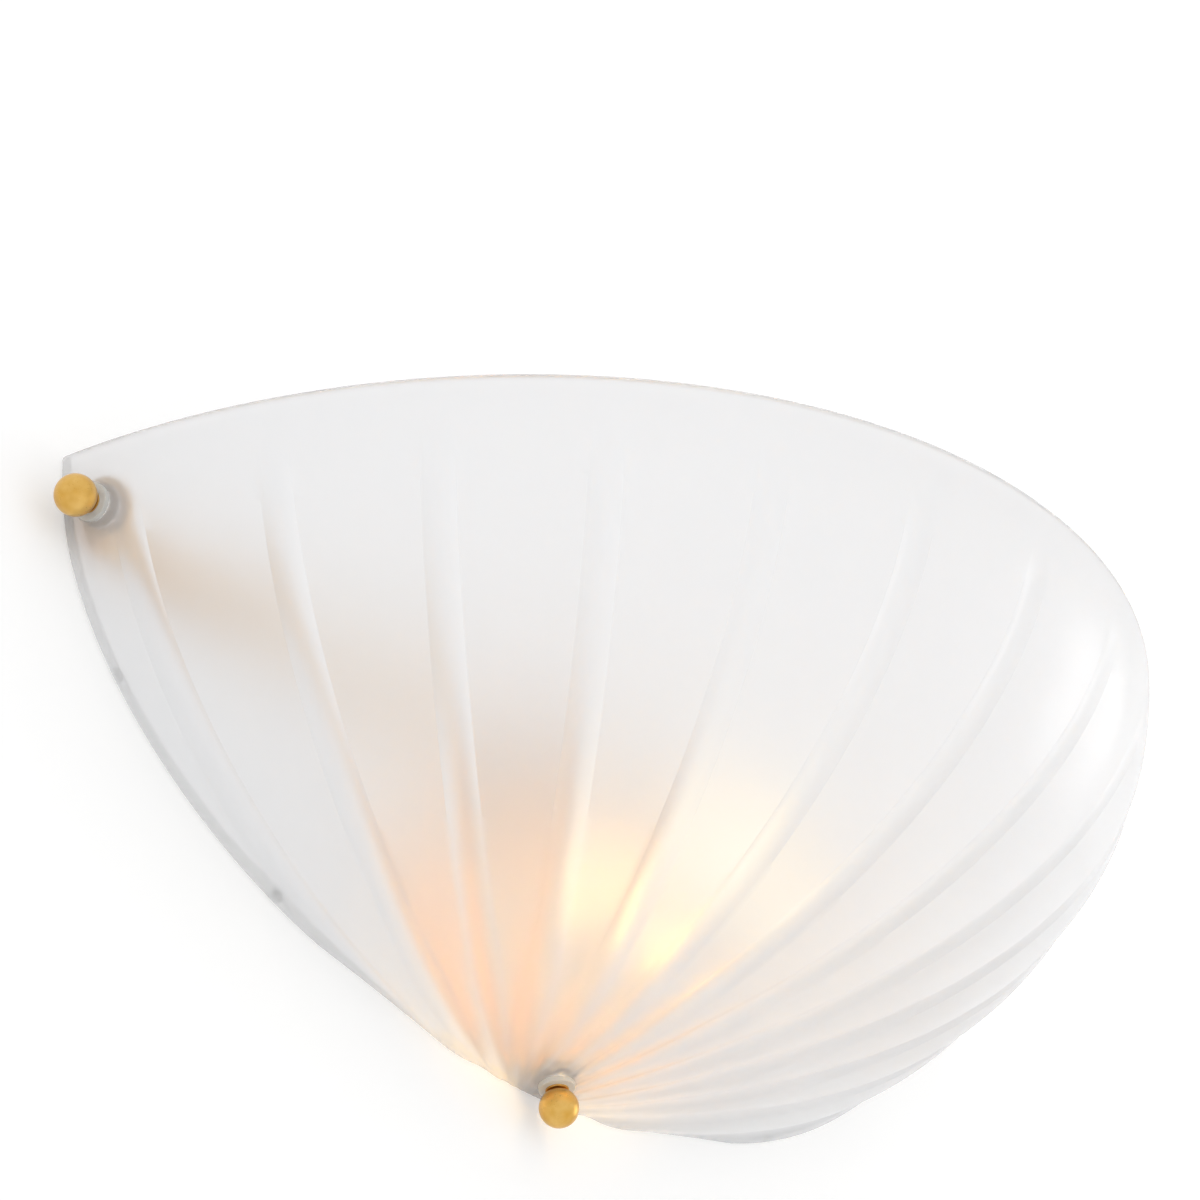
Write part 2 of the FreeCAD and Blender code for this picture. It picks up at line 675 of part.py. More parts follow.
def falling_lead(way, end):
    """Lead that falls from one way of the block to an upright end."""
    start = V(block_way(way), -BLOCK_MIDDLE, BLOCK_FOOT_Z + LEAD_DEPTH)
    fall = UP * ((start.z - end.z) / 3)
    return tube([start, start - fall, end + fall, end], LEAD)


def lamp_lead(way, side):
    return falling_lead(way, V(side * ENTRY_X, -ENTRY_OUT, ENTRY_Z))


def earth_lead():
    end_z = EARTH_BARREL_Z + EARTH_BARREL_LENGTH - LEAD_DEPTH
    return falling_lead(0, V(EARTH_X, -EARTH_BARREL_OUT, end_z))


def earth_terminal():
    """Ring terminal: a flat ring under the screw and a barrel that grips the lead."""
    face = PLATE_THICK + EARTH_RING_THICK
    barrel_foot = V(EARTH_X, -EARTH_BARREL_OUT, EARTH_BARREL_Z)
    barrel = cylinder(EARTH_BARREL, EARTH_BARREL_LENGTH, barrel_foot, UP)
    lead_foot = barrel_foot + UP * (EARTH_BARREL_LENGTH - LEAD_DEPTH)
    barrel = barrel.cut(cylinder(LEAD, LEAD_DEPTH, lead_foot, UP))
    flat = wall_peg(EARTH_RING, EARTH_X, EARTH_Z, PLATE_THICK, face)
    return flat.fuse(barrel).cut(wall_peg(EARTH_SCREW, EARTH_X, EARTH_Z, PLATE_THICK, face))


def earth_screw():
    face = PLATE_THICK + EARTH_RING_THICK
    return pan_screw(EARTH_X, EARTH_Z, face, EARTH_SCREW, EARTH_HEAD, EARTH_HEAD_THICK)


def cable_grommet():
    face = PLATE_THICK + GROMMET_LIP_THICK
    body = wall_peg(INLET_HOLE, INLET_X, INLET_Z, 0, PLATE_THICK)
    lip = wall_peg(GROMMET_LIP, INLET_X, INLET_Z, PLATE_THICK, face)
    return body.fuse(lip).cut(wall_peg(INLET_BORE, INLET_X, INLET_Z, 0, face))


def main():
    os.makedirs("parts", exist_ok=True)
    save("glass_bowl", glass_bowl())
    save("wall_pads", wall_pads())
    for name, station in STATIONS.items():
        save(name + "_ball_head", ball_head(station))
        save(name + "_stud", stud(station))
        save(name + "_washer", screw_washer(station))
        save(name + "_clear_sleeve", clear_sleeve(station))
        save(name + "_gasket", gasket(station))
        save(name + "_threaded_boss", boss(station))
    save("back_plate", back_plate())
    save("cross_bar", cross_bar())
    save("lower_arm", lower_arm())
    save("frame_screws", frame_screws())
    save("lamp_holder_body", holder_body())
    save("lamp_holder_shell", holder_shell())
    save("lamp_holder_contact", holder_contact())
    save("lamp_holder_screws", holder_screws())
    save("lamp_tip", lamp_tip())
    save("lamp_insulator", lamp_insulator())
    save("lamp_cap", lamp_cap())
    save("lamp_globe", lamp_globe())
    save("terminal_block", terminal_block())
    save("terminal_screws", terminal_screws())
    save("lead_live", lamp_lead(2, 1))
    save("lead_neutral", lamp_lead(1, -1))
    save("lead_earth", earth_lead())
    save("cable_grommet", cable_grommet())
    save("earth_terminal", earth_terminal())
    save("earth_screw", earth_screw())


main()
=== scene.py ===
"""Shell wall sconce: the looks of a fluted, frosted glass bowl with satin brass ball screws, lit inside.

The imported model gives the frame, in metres: the wall is the plane y = 0, the room is towards -Y and Z is up.
"""
from math import cos, hypot, pi, radians, sin, sqrt, tan
from typing import NamedTuple

import bmesh
import bpy
from bpy.props import FloatProperty, FloatVectorProperty, IntProperty, PointerProperty
from bpy.types import Operator, Panel, PropertyGroup
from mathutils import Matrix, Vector


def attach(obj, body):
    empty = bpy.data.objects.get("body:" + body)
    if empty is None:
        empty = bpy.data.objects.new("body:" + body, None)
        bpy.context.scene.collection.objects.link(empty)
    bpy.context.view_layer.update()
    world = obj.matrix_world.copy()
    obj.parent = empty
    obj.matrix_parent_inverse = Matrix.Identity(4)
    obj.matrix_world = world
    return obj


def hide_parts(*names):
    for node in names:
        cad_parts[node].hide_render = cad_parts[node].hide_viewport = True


bl_info = {
    "name": "Shell Wall Sconce",
    "version": (1, 0, 0),
    "blender": (4, 5, 0),
    "location": "View3D > Sidebar > Sconce",
    "description": "Builds the glass, finishes and studio of a fluted glass wall light",
    "category": "Object",
}

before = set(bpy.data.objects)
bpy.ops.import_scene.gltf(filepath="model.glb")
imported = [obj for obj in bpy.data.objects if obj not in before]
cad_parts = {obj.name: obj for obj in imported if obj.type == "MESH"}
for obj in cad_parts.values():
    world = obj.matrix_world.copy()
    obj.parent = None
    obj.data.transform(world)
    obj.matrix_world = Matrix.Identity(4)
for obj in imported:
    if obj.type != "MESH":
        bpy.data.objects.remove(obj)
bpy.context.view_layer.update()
MM = 0.001
STATIONS = ("left", "right", "bottom")


# ---- colours, nodes and patterns ----
def linear(hex_code):
    """sRGB hex, such as "C99A3A", as linear red, green, blue and alpha."""
    channels = [int(hex_code[i:i + 2], 16) / 255 for i in (0, 2, 4)]
    return [c / 12.92 if c <= 0.04045 else ((c + 0.055) / 1.055) ** 2.4 for c in channels] + [1.0]


def add_node(tree, kind, inputs=None, **settings):
    """Add a node with its settings. An input given as a socket is linked, any other value is set."""
    node = tree.nodes.new(kind)
    for name, value in settings.items():
        setattr(node, name, value)
    for name, value in (inputs or {}).items():
        if isinstance(value, bpy.types.NodeSocket):
            tree.links.new(value, node.inputs[name])
        else:
            node.inputs[name].default_value = value
    return node


def new_material(name):
    """An empty material and its node tree."""
    material = bpy.data.materials.new(name)
    material.use_nodes = True
    material.node_tree.nodes.clear()
    return material, material.node_tree


class Pattern(NamedTuple):
    """Noise whose blobs are about size_mm across, drawn out along an axis where stretch is under 1."""
    size_mm: float
    detail: float
    stretch: tuple = (1.0, 1.0, 1.0)


def lay_patterns(tree, *patterns):
    """Lay patterns over the piece in its own coordinates. Patterns that are equal share one noise."""
    place = add_node(tree, "ShaderNodeTexCoord").outputs["Object"]
    laid = {}
    for pattern in dict.fromkeys(patterns):
        drawn_out = add_node(tree, "ShaderNodeMapping", {"Vector": place, "Scale": pattern.stretch})
        laid[pattern] = add_node(tree, "ShaderNodeTexNoise", {
            "Vector": drawn_out.outputs["Vector"],
            "Scale": 1 / (pattern.size_mm * MM),
            "Detail": pattern.detail,
        }).outputs["Fac"]
    return [laid[pattern] for pattern in patterns]


def ray_share(tree, shares):
    """Share of the ray's kind, such as {"Is Camera Ray": 1.0}, and 0 for a kind that isn't named."""
    path = add_node(tree, "ShaderNodeLightPath")
    total = None
    for kind, share in shares.items():
        part = path.outputs[kind]
        if share < 1:
            lowered = add_node(tree, "ShaderNodeMath", {0: part, 1: share}, operation="MULTIPLY")
            part = lowered.outputs["Value"]
        if total is not None:
            larger = add_node(tree, "ShaderNodeMath", {0: total, 1: part}, operation="MAXIMUM")
            part = larger.outputs["Value"]
        total = part
    return total


# ---- opaque finishes ----
# Noise rarely leaves this range, so colours and roughness are spread from it.
NOISE_LOW = 0.3
NOISE_HIGH = 0.7


def opaque_finish(name, colours, roughness, mottle, sheen, relief, relief_mm, strength, sockets):
    """Finish of metal, ceramic, rubber or plastic, drawn by three patterns.

    Mottle runs between the two colours, sheen between the two roughnesses, and relief lifts the surface by
    up to relief_mm. Sockets holds what is the same all over.
    """
    material, tree = new_material(name)
    mottle, sheen, relief = lay_patterns(tree, mottle, sheen, relief)
    spread = []
    for pattern, (low, high) in ((mottle, (0.0, 1.0)), (sheen, roughness)):
        spread.append(add_node(tree, "ShaderNodeMapRange", {
            "Value": pattern, "From Min": NOISE_LOW, "From Max": NOISE_HIGH, "To Min": low, "To Max": high,
        }).outputs["Result"])
    colour = add_node(tree, "ShaderNodeMix", {
        "Factor": spread[0], "A": linear(colours[0]), "B": linear(colours[1]),
    }, data_type="RGBA")
    lifted = add_node(tree, "ShaderNodeBump", {
        "Height": relief, "Distance": relief_mm * MM, "Strength": strength,
    })
    shader = add_node(tree, "ShaderNodeBsdfPrincipled", {
        "Base Color": colour.outputs["Result"],
        "Roughness": spread[1],
        "Normal": lifted.outputs["Normal"],
        **sockets,
    })
    add_node(tree, "ShaderNodeOutputMaterial", {"Surface": shader.outputs["BSDF"]})
    return material


def satin_brass():
    """Turned CuZn39 brass, hand-brushed and lacquered: warm gold with a soft, broken highlight."""
    strokes = Pattern(0.3, 2.0, (1.0, 0.2, 1.0))
    return opaque_finish("Satin_Brushed_Brass", ("D2A24C", "E4BC70"), (0.27, 0.36),
                         mottle=Pattern(5.0, 2.0), sheen=strokes, relief=strokes,
                         relief_mm=0.01, strength=0.4, sockets={"Metallic": 1.0})


def sheet_brass():
    """Rolled brass sheet, brushed along the wall: long fine lines and a duller sheen than the balls."""
    lines = Pattern(0.5, 3.0, (0.03, 1.0, 1.0))
    return opaque_finish("Brushed_Sheet_Brass", ("D6A85C", "E9C37E"), (0.55, 0.7),
                         mottle=Pattern(18.0, 4.0), sheen=lines, relief=lines,
                         relief_mm=0.02, strength=0.5, sockets={"Metallic": 1.0})


def plated_metal(name, colours, roughness):
    """Plated or rolled small metalware: an even surface with faint cloudy variation."""
    clouds = Pattern(1.5, 3.0)
    return opaque_finish(name, colours, roughness, mottle=clouds, sheen=clouds, relief=Pattern(0.25, 1.0),
                         relief_mm=0.01, strength=0.4, sockets={"Metallic": 1.0})


def moulded_finish(name, colours, roughness, grain_mm, grain_depth_mm, coat=0.0):
    """Moulded, glazed or extruded non-metal: slight mottling and a fine grain, under a coat where given."""
    grain = Pattern(grain_mm, 3.0)
    return opaque_finish(name, colours, roughness, mottle=Pattern(12 * grain_mm, 2.0), sheen=grain,
                         relief=grain, relief_mm=grain_depth_mm, strength=0.6,
                         sockets={"Coat Weight": coat, "Coat Roughness": 0.08})


# ---- glass and clear finishes ----
GLASS_RIPPLE = Pattern(9.0, 1.0)
RIPPLE_DEPTH = 0.03 * MM
RIPPLE_STRENGTH = 0.3


def shadow_lets_through(tree, shader, tint):
    """Light that only passes, such as a lamp's on its way to a wall, goes straight through the glass."""
    passing = ray_share(tree, {"Is Shadow Ray": 1.0, "Is Diffuse Ray": 1.0})
    clear = add_node(tree, "ShaderNodeBsdfTransparent", {"Color": linear(tint)})
    mixed = add_node(tree, "ShaderNodeMixShader", {0: passing, 1: shader, 2: clear.outputs["BSDF"]})
    return mixed.outputs["Shader"]


def clear_finish(name, colour, roughness, ior, tint, haze=0.0):
    """Clear, etched or ground body. Haze is the share of light that its surface scatters."""
    material, tree = new_material(name)
    ripple, = lay_patterns(tree, GLASS_RIPPLE)
    lifted = add_node(tree, "ShaderNodeBump", {
        "Height": ripple, "Distance": RIPPLE_DEPTH, "Strength": RIPPLE_STRENGTH,
    })
    shader = add_node(tree, "ShaderNodeBsdfPrincipled", {
        "Base Color": linear(colour),
        "Transmission Weight": 1.0,
        "Roughness": roughness,
        "IOR": ior,
        "Normal": lifted.outputs["Normal"],
    }).outputs["BSDF"]
    if haze > 0:
        through = add_node(tree, "ShaderNodeBsdfTranslucent", {"Color": linear(colour)})
        back = add_node(tree, "ShaderNodeBsdfDiffuse", {"Color": linear(colour)})
        scatter = add_node(tree, "ShaderNodeMixShader", {
            0: 0.5, 1: through.outputs["BSDF"], 2: back.outputs["BSDF"],
        })
        shader = add_node(tree, "ShaderNodeMixShader", {
            0: haze, 1: shader, 2: scatter.outputs["Shader"],
        }).outputs["Shader"]
    add_node(tree, "ShaderNodeOutputMaterial", {"Surface": shadow_lets_through(tree, shader, tint)})
    return material


def lit_opal(glow):
    """Opal glass globe with its lamp on: a warm white glow that is brightest and palest face on."""
    edge_share = 0.3
    edge_from = 0.7
    material, tree = new_material("Opal_Glass_Lit")
    facing = add_node(tree, "ShaderNodeLayerWeight", {"Blend": 0.5}).outputs["Facing"]
    level = add_node(tree, "ShaderNodeMapRange", {
        "Value": facing, "From Min": 0.0, "From Max": edge_from, "To Min": glow, "To Max": edge_share * glow,
    })
    warmth = add_node(tree, "ShaderNodeMix", {
        "Factor": facing, "A": linear("FFF5D8"), "B": linear("FFC98A"),
    }, data_type="RGBA")
    shader = add_node(tree, "ShaderNodeBsdfPrincipled", {
        "Base Color": linear("FFF3DC"),
        "Roughness": 0.35,
        "Emission Color": warmth.outputs["Result"],
        "Emission Strength": level.outputs["Result"],
    })
    surface = shadow_lets_through(tree, shader.outputs["BSDF"], "FFFFFF")
    add_node(tree, "ShaderNodeOutputMaterial", {"Surface": surface})
    return material


def dress(material, *names):
    """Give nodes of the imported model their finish."""
    for name in names:
        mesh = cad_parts[name].data
        mesh.materials.clear()
        mesh.materials.append(material)


def at_stations(piece):
    """Names of the same piece at the three screws."""
    return [station + "_" + piece for station in STATIONS]


# ---- what a user would change ----
class GlassSettings(PropertyGroup):
    half_width: FloatProperty(
        name="Half Width", description="Half of the bowl's width at its widest", default=0.1775,
        unit="LENGTH")
    front: FloatProperty(
        name="Front", description="Bowl's reach from its upright axis to the front", default=0.2038,
        unit="LENGTH")
    drop: FloatProperty(
        name="Drop", description="Rim to the bowl's lowest point", default=0.1138, unit="LENGTH")
    rim_height: FloatProperty(
        name="Rim Height", description="Rim above the middle of the back plate", default=0.056,
        unit="LENGTH")
    thickness: FloatProperty(
        name="Thickness", description="Thickness of the glass", default=0.005, unit="LENGTH")
    flute_depth: FloatProperty(
        name="Flute Depth", description="Depth of the flutes", default=0.0015, unit="LENGTH")
    swell: FloatProperty(
        name="Swell", description="How far the glass between flutes stands out", default=0.0007,
        unit="LENGTH")
    flutes: IntProperty(
        name="Flutes", description="Number of flutes", default=13)
    frost: FloatProperty(
        name="Frost", description="Roughness of the etched inside", default=0.6, subtype="FACTOR")
    haze: FloatProperty(
        name="Haze", description="Share of light that the etched inside scatters", default=0.25,
        subtype="FACTOR")


class LampSettings(PropertyGroup):
    glow: FloatProperty(
        name="Glow", description="Brightness of the globe", default=0.95, min=0.0)
    power: FloatProperty(
        name="Power", description="Light that the lamp throws back on the wall", default=0.06, unit="POWER")


class StudioSettings(PropertyGroup):
    sky: FloatProperty(
        name="Sky", description="Level of the light from all round", default=1.0, min=0.0)
    key: FloatProperty(
        name="Key", description="Power of the large soft lamp", default=4.0, unit="POWER")
    wall: FloatVectorProperty(
        name="Wall", description="Colour of the wall's paint", size=4, subtype="COLOR",
        default=linear("EDEDED"))


# ---- the glass bowl ----
AXIS_BEHIND = 33.8 * MM         # the bowl's upright axis, behind the wall
FLUTE_AXIS_BEHIND = 7.2 * MM    # the upright line that the flutes fan out from
FLUTE_HALF_WIDTH = 4.2 * MM
FLUTE_PITCH = radians(13.54)
FLUTE_SHARE = 0.30              # half a flute takes up at most this share of the pitch
FLUTE_START = 12.0 * MM         # below the rim, where the flutes begin
FLUTE_FULL = 32.0 * MM          # below the rim, where they reach their full depth
FLUTE_FADE = 2.5                # they fade again where the turn's cosine is under 1 / FLUTE_FADE
PLAN_POWER = 1.92
DROP_POWER = 1.98
RIM_ROUND = 2.4 * MM
WALL_GAP = 1.0 * MM
HOLE = 8.1 * MM
OUTER_SEAT = 10.4 * MM
INNER_SEAT = 11.8 * MM
SEAT_DEPTH = 0.4 * MM
CUTTER_REACH = 14.0 * MM        # past the glass on both sides
CUTTER_SIDES = 72
SIDE_SCREW_BELOW = 16.5 * MM
SIDE_SCREW_OUT = 9.4 * MM
LOW_SCREW_OUT = 8.4 * MM
ROWS = 96
LAST_TURN = radians(88.8)       # the rows stop just short of the flutes' axis
RIM_ROWS = 8
FLUTE_COLUMNS = 14
PANEL_COLUMNS = 12
SHARP_FROM = radians(25)
OUTSIDE, INSIDE, EDGE = range(3)
TINY = 1e-6                     # keeps powers off zero


def smooth_step(value):
    """0 to 1 with a soft start and end, for a value from 0 to 1 or beyond."""
    value = min(1.0, max(0.0, value))
    return value * value * (3 - 2 * value)


def arch(share):
    """Height of a round arch, 0 at both ends and 1 in the middle."""
    return 4 * share * (1 - share)


class BowlSurface:
    """Outer or inner surface of the bowl without its flutes, oval in plan and squared from the side."""

    def __init__(self, glass, inset):
        self.rim_height = glass.rim_height
        self.half_width = glass.half_width - inset
        self.front = glass.front - inset
        self.drop = glass.drop - inset
        self.top_spread = (1 - (RIM_ROUND / self.drop) ** DROP_POWER) ** (1 / PLAN_POWER)

    def reach(self, angle):
        """Distance from the flutes' axis to the rim's edge at an angle in plan."""
        across = cos(angle) / self.half_width
        out = sin(angle) / self.front
        offset = (AXIS_BEHIND - FLUTE_AXIS_BEHIND) / self.front
        a = across ** 2 + out ** 2
        b = offset * out
        return (-b + sqrt(b * b - a * (offset ** 2 - self.top_spread ** 2))) / a

    def height(self, x, y):
        """Height of the surface over a point in plan."""
        spread = hypot(x / self.half_width, (AXIS_BEHIND - y) / self.front)
        return self.rim_height - self.drop * max(0.0, 1 - spread ** PLAN_POWER) ** (1 / DROP_POWER)

    def normal(self, point):
        """Outward direction at a point of the surface."""
        spread = max(hypot(point.x / self.half_width, (AXIS_BEHIND - point.y) / self.front), TINY)
        pull = PLAN_POWER * spread ** (PLAN_POWER - 2)
        below = max(self.rim_height - point.z, TINY) / self.drop
        return Vector((
            pull * point.x / self.half_width ** 2,
            -pull * (AXIS_BEHIND - point.y) / self.front ** 2,
            -DROP_POWER * below ** (DROP_POWER - 1) / self.drop,
        )).normalized()

    def point(self, angle, turn, lift):
        """Point at an angle in plan and a turn from rim (0) to the flutes' axis, lifted off the bowl."""
        away = self.reach(angle) * cos(turn)
        x = away * cos(angle)
        y = FLUTE_AXIS_BEHIND - away * sin(angle)
        point = Vector((x, y, self.height(x, y)))
        return point + self.normal(point) * lift


def bowl_columns(glass, outside, turn):
    """Angle and relief of each column of the bowl's mesh at one turn from the rim to the bottom."""
    below = glass.drop * sin(turn)
    started = smooth_step((below - FLUTE_START) / (FLUTE_FULL - FLUTE_START))
    shown = started * smooth_step(FLUTE_FADE * cos(turn))
    centres = [pi / 2 + (i - (glass.flutes - 1) / 2) * FLUTE_PITCH for i in range(glass.flutes)]
    halves = [min(FLUTE_HALF_WIDTH / (outside.reach(centre) * cos(turn)), FLUTE_SHARE * FLUTE_PITCH)
              for centre in centres]
    starts = [0.0] + [centre + half for centre, half in zip(centres, halves)]
    stops = [centre - half for centre, half in zip(centres, halves)] + [pi]
    columns = []
    for i, (start, stop) in enumerate(zip(starts, stops)):
        for k in range(PANEL_COLUMNS):
            share = k / PANEL_COLUMNS
            columns.append((start + (stop - start) * share, glass.swell * arch(share) * shown))
        if i < glass.flutes:
            for k in range(FLUTE_COLUMNS):
                share = k / FLUTE_COLUMNS
                columns.append((stop + 2 * halves[i] * share, -glass.flute_depth * arch(share) * shown))
    columns.append((pi, 0.0))
    return columns


def bowl_section_rows(glass):
    """Rows of points of the closed section: outside from the bottom up, over the rim, inside down."""
    outside = BowlSurface(glass, 0)
    inside = BowlSurface(glass, glass.thickness)
    turns = [LAST_TURN * (1 - i / ROWS) for i in range(ROWS + 1)]
    outer = [[outside.point(angle, turn, lift) for angle, lift in bowl_columns(glass, outside, turn)]
             for turn in turns]
    inner = [[inside.point(angle, turn, 0.0) for angle, _ in bowl_columns(glass, outside, turn)]
             for turn in reversed(turns)]
    rim = []
    for i in range(1, RIM_ROWS):
        share = i / RIM_ROWS
        rise = Vector((0, 0, RIM_ROUND * arch(share)))
        rim.append([a.lerp(b, smooth_step(share)) + rise for a, b in zip(outer[-1], inner[0])])
    return outer, rim, inner


def seat_cutter(foot, axis, thickness):
    """Turned tool shape that makes a screw's hole and the flat seats on both sides of the glass."""
    inner_seat_at = SEAT_DEPTH - thickness
    profile = [
        (0, CUTTER_REACH),
        (OUTER_SEAT / 2, CUTTER_REACH),
        (OUTER_SEAT / 2, -SEAT_DEPTH),
        (HOLE / 2, -SEAT_DEPTH),
        (HOLE / 2, inner_seat_at),
        (INNER_SEAT / 2, inner_seat_at),
        (INNER_SEAT / 2, -CUTTER_REACH),
        (0, -CUTTER_REACH),
    ]
    mesh = bmesh.new()
    turn = axis.to_track_quat("Z", "Y")
    rings = []
    for radius, height in profile:
        count = CUTTER_SIDES if radius > 0 else 1
        angles = [2 * pi * k / count for k in range(count)]
        ring = [Vector((radius * cos(angle), radius * sin(angle), height)) for angle in angles]
        rings.append([mesh.verts.new(foot + turn @ point) for point in ring])
    for low, high in zip(rings, rings[1:]):
        for k in range(CUTTER_SIDES):
            corners = [low[k % len(low)], low[(k + 1) % len(low)],
                       high[(k + 1) % len(high)], high[k % len(high)]]
            mesh.faces.new(list(dict.fromkeys(corners)))
    bmesh.ops.recalc_face_normals(mesh, faces=mesh.faces)
    data = bpy.data.meshes.new("seat_cutter")
    mesh.to_mesh(data)
    mesh.free()
    cutter = bpy.data.objects.new("seat_cutter", data)
    bpy.context.collection.objects.link(cutter)
    return cutter


def screw_axes(glass):
    """Foot on the outer glass and outward direction of each screw."""
    outside = BowlSurface(glass, 0)
    below = SIDE_SCREW_BELOW / glass.drop
    spread = (1 - below ** DROP_POWER) ** (1 / PLAN_POWER)
    side_x = glass.half_width * sqrt(spread ** 2 - ((AXIS_BEHIND + SIDE_SCREW_OUT) / glass.front) ** 2)
    places = ((-side_x, -SIDE_SCREW_OUT), (side_x, -SIDE_SCREW_OUT), (0, -LOW_SCREW_OUT))
    feet = [Vector((x, y, outside.height(x, y))) for x, y in places]
    return [(foot, outside.normal(foot)) for foot in feet]


def bowl_mesh(glass):
    """The bowl, cut off along the wall. Its faces are marked outside, inside or ground edge."""
    outer, rim, inner = bowl_section_rows(glass)
    mesh = bmesh.new()
    rows = [[mesh.verts.new(point) for point in row] for row in outer + rim + inner]
    for i, (low, high) in enumerate(zip(rows, rows[1:])):
        side = OUTSIDE if i < len(outer) + len(rim) else INSIDE
        for a, b, c, d in zip(low, low[1:], high[1:], high):
            face = mesh.faces.new((a, b, c, d))
            face.material_index = side
            face.smooth = True
    everything = mesh.verts[:] + mesh.edges[:] + mesh.faces[:]
    bmesh.ops.bisect_plane(mesh, geom=everything, plane_co=(0, -WALL_GAP, 0), plane_no=(0, 1, 0),
                           clear_outer=True)
    open_edges = [edge for edge in mesh.edges if edge.is_boundary]
    filled = bmesh.ops.edgenet_fill(mesh, edges=open_edges)
    for face in filled["faces"]:
        face.material_index = EDGE
        face.smooth = False
    bmesh.ops.recalc_face_normals(mesh, faces=mesh.faces)
    data = bpy.data.meshes.new("glass_bowl_fluted")
    mesh.to_mesh(data)
    mesh.free()
    return data


def drill(bowl, cutters):
    """Cut with each tool shape, then remove it."""
    for cutter in cutters:
        cut = bowl.modifiers.new("seat", "BOOLEAN")
        cut.object = cutter
        cut.solver = "EXACT"
    evaluated = bowl.evaluated_get(bpy.context.evaluated_depsgraph_get())
    drilled = bpy.data.meshes.new_from_object(evaluated)
    bowl.modifiers.clear()
    bowl.data = drilled
    for cutter in cutters:
        bpy.data.objects.remove(cutter)


class SCONCE_OT_glass_bowl(Operator):
    """Build the fluted glass bowl, satin outside, etched inside, with flat seats for its screws"""
    bl_idname = "sconce.glass_bowl"
    bl_label = "Glass Bowl"

    def execute(self, context):
        glass = context.scene.sconce_glass
        bowl = bpy.data.objects.new("glass_bowl_fluted", bowl_mesh(glass))
        context.collection.objects.link(bowl)
        # soda-lime glass, pressed and then etched lightly: satin outside, with soft bright flutes
        outside = clear_finish("Pressed_Glass_Outside", "FBFCFE", 0.26, 1.5, "ECECEC", 0.3)
        # acid-etched inside: a fine silky frost that blurs what is behind it
        inside = clear_finish("Etched_Glass_Inside", "FAFBFD", glass.frost, 1.5, "ECECEC", glass.haze)
        # wheel-ground edge along the wall: dull, evenly lit
        edge = clear_finish("Ground_Glass_Edge", "E6E6E6", 0.45, 1.5, "F2F2F2", 0.7)
        for material in (outside, inside, edge):
            bowl.data.materials.append(material)
        drill(bowl, [seat_cutter(foot, axis, glass.thickness) for foot, axis in screw_axes(glass)])
        bowl.data.set_sharp_from_angle(angle=SHARP_FROM)
        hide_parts("glass_bowl")
        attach(bowl, "wall_frame")
        return {"FINISHED"}


class SCONCE_OT_screws(Operator):
    """Finish the ball-headed screws, their washers, sleeves and gaskets, the other screws and the pads"""
    bl_idname = "sconce.screws"
    bl_label = "Ball Screws"

    def execute(self, context):
        dress(satin_brass(), *at_stations("ball_head"), *at_stations("washer"))
        # zinc-plated steel: cool grey with a faint cloud
        dress(plated_metal("Zinc_Plated_Steel", ("9EA1A3", "C9CBCB"), (0.29, 0.43)),
              *at_stations("stud"), "frame_screws", "lamp_holder_screws", "terminal_screws", "earth_screw")
        # turned acrylic: clear collars, milky from the tool marks
        dress(clear_finish("Turned_Clear_Acrylic", "FAFAF8", 0.2, 1.49, "F4F6F6", 0.8),
              *at_stations("clear_sleeve"))
        # moulded clear silicone: see-through but dull
        dress(clear_finish("Moulded_Clear_Silicone", "F4F4F2", 0.35, 1.41, "F0F0F0"), "wall_pads")
        # moulded grey silicone: warm grey and matt
        dress(moulded_finish("Moulded_Grey_Silicone", ("ADA198", "BDB1A8"), (0.55, 0.68), 0.4, 0.02),
              *at_stations("gasket"))
        return {"FINISHED"}


class SCONCE_OT_wall_frame(Operator):
    """Finish the brass frame that holds the bowl on the wall, and the cable's bush"""
    bl_idname = "sconce.wall_frame"
    bl_label = "Wall Frame"

    def execute(self, context):
        dress(sheet_brass(), "back_plate", "cross_bar", "lower_arm", *at_stations("threaded_boss"))
        # moulded EPDM rubber: matt charcoal with a fine bloom
        dress(moulded_finish("Moulded_EPDM_Rubber", ("1F1E1D", "34322F"), (0.7, 0.83), 0.4, 0.03),
              "cable_grommet")
        return {"FINISHED"}


LAMP_LIGHT_PLACE = (0, -62 * MM, -4 * MM)     # inside the globe, on the lamp's axis
LAMP_LIGHT_TARGET = (0, 0, -4 * MM)           # straight back on the wall
LAMP_LIGHT_SIZE = 45 * MM                     # as wide as the globe
LAMP_LIGHT_SPREAD = radians(88)


